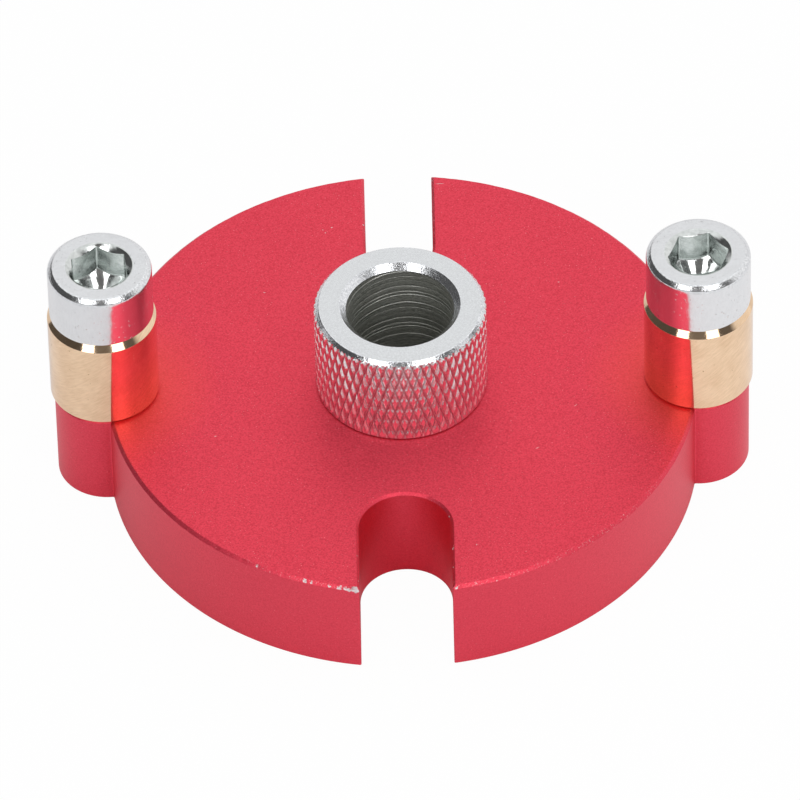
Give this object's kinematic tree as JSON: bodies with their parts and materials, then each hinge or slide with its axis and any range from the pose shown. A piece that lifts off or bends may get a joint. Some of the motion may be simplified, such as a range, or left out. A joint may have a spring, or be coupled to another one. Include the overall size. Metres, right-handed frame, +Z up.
{
  "type": "self centering doweling jig",
  "caption": "Round anodised doweling jig: a plate with two brass sleeved guide posts, sight slots and a knurled drill bush that centres on a board edge.",
  "frame": {"origin": "centre of the plate's underside, on the axis of the drill bush", "axes": "+X from the left post to the right post, +Z up through the drill bush away from the underside, -Y towards the wide sight slot"},
  "size_m": [0.0658, 0.0549, 0.026],
  "materials": {
    "red_anodised": "bead blasted and anodised red, satin",
    "zinc_steel": "bright zinc plate, turned and knurled",
    "plated_screw": "bright zinc plate, smooth",
    "brass": "fine turned and polished"
  },
  "bodies": {
    "jig_body": {"jig_plate": "red_anodised", "left_post_screw": "plated_screw", "right_post_screw": "plated_screw"},
    "drill_bush": {"drill_bush": "zinc_steel"},
    "left_guide_sleeve": {"left_guide_sleeve": "brass"},
    "right_guide_sleeve": {"right_guide_sleeve": "brass"}
  },
  "joints": [
    {"name": "drill_bush_lift", "type": "slide", "parent": "jig_body", "child": "drill_bush", "axis": [0, 0, 1], "range_m": [0, 0.012]},
    {"name": "left_sleeve_spin", "type": "hinge", "parent": "jig_body", "child": "left_guide_sleeve", "pos_m": [-0.0278, 0, 0.0153], "axis": [0, 0, 1], "continuous": true},
    {"name": "right_sleeve_spin", "type": "hinge", "parent": "jig_body", "child": "right_guide_sleeve", "pos_m": [0.0278, 0, 0.0153], "axis": [0, 0, 1], "continuous": true}
  ]
}
